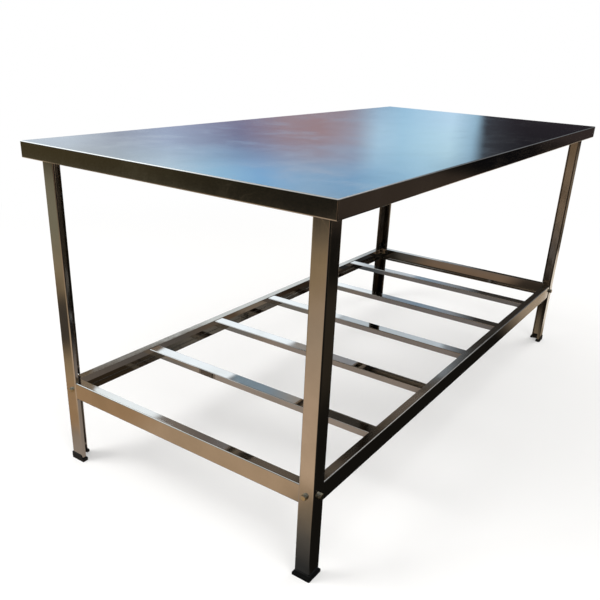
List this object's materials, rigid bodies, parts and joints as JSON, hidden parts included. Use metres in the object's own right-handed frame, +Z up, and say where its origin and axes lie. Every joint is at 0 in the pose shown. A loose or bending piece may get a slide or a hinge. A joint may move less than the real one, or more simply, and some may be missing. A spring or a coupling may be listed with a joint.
{
  "type": "work table",
  "caption": "Long stainless steel work table with a folded-edge top on angle legs with plastic shoes, and an open slatted lower shelf in a channel frame.",
  "frame": {"origin": "on the floor under the middle of the worktop", "axes": "+X along the length, to the right seen from the front; +Y to the back; +Z up"},
  "size_m": [1.9, 0.9, 0.9],
  "materials": {
    "worktop_sheet": "smooth bright stainless sheet",
    "leg_steel": "bright stainless, folded lipped angle",
    "rail_steel": "bright stainless, folded channel",
    "slat_steel": "bright stainless, folded channel",
    "hidden_steel": "mill finish stainless",
    "fasteners": "plain stainless fasteners",
    "shoe_plastic": "black moulded polypropylene"
  },
  "bodies": {
    "root": {"worktop": "worktop_sheet", "stiffener_left": "hidden_steel", "stiffener_middle": "hidden_steel", "stiffener_right": "hidden_steel", "upper_rail_front": "hidden_steel", "upper_rail_back": "hidden_steel", "upper_rail_left": "hidden_steel", "upper_rail_right": "hidden_steel", "upper_bolts": "fasteners", "upper_washers": "fasteners", "upper_nuts": "fasteners", "leg_front_left": "leg_steel", "leg_front_right": "leg_steel", "leg_back_left": "leg_steel", "leg_back_right": "leg_steel", "shoe_front_left": "shoe_plastic", "shoe_front_right": "shoe_plastic", "shoe_back_left": "shoe_plastic", "shoe_back_right": "shoe_plastic", "shelf_rail_front": "rail_steel", "shelf_rail_back": "rail_steel", "shelf_rail_left": "rail_steel", "shelf_rail_right": "rail_steel", "slat_1": "slat_steel", "slat_2": "slat_steel", "slat_3": "slat_steel", "slat_4": "slat_steel", "slat_5": "slat_steel", "shelf_bolts": "fasteners", "shelf_washers": "fasteners", "shelf_nuts": "fasteners"}
  },
  "joints": []
}
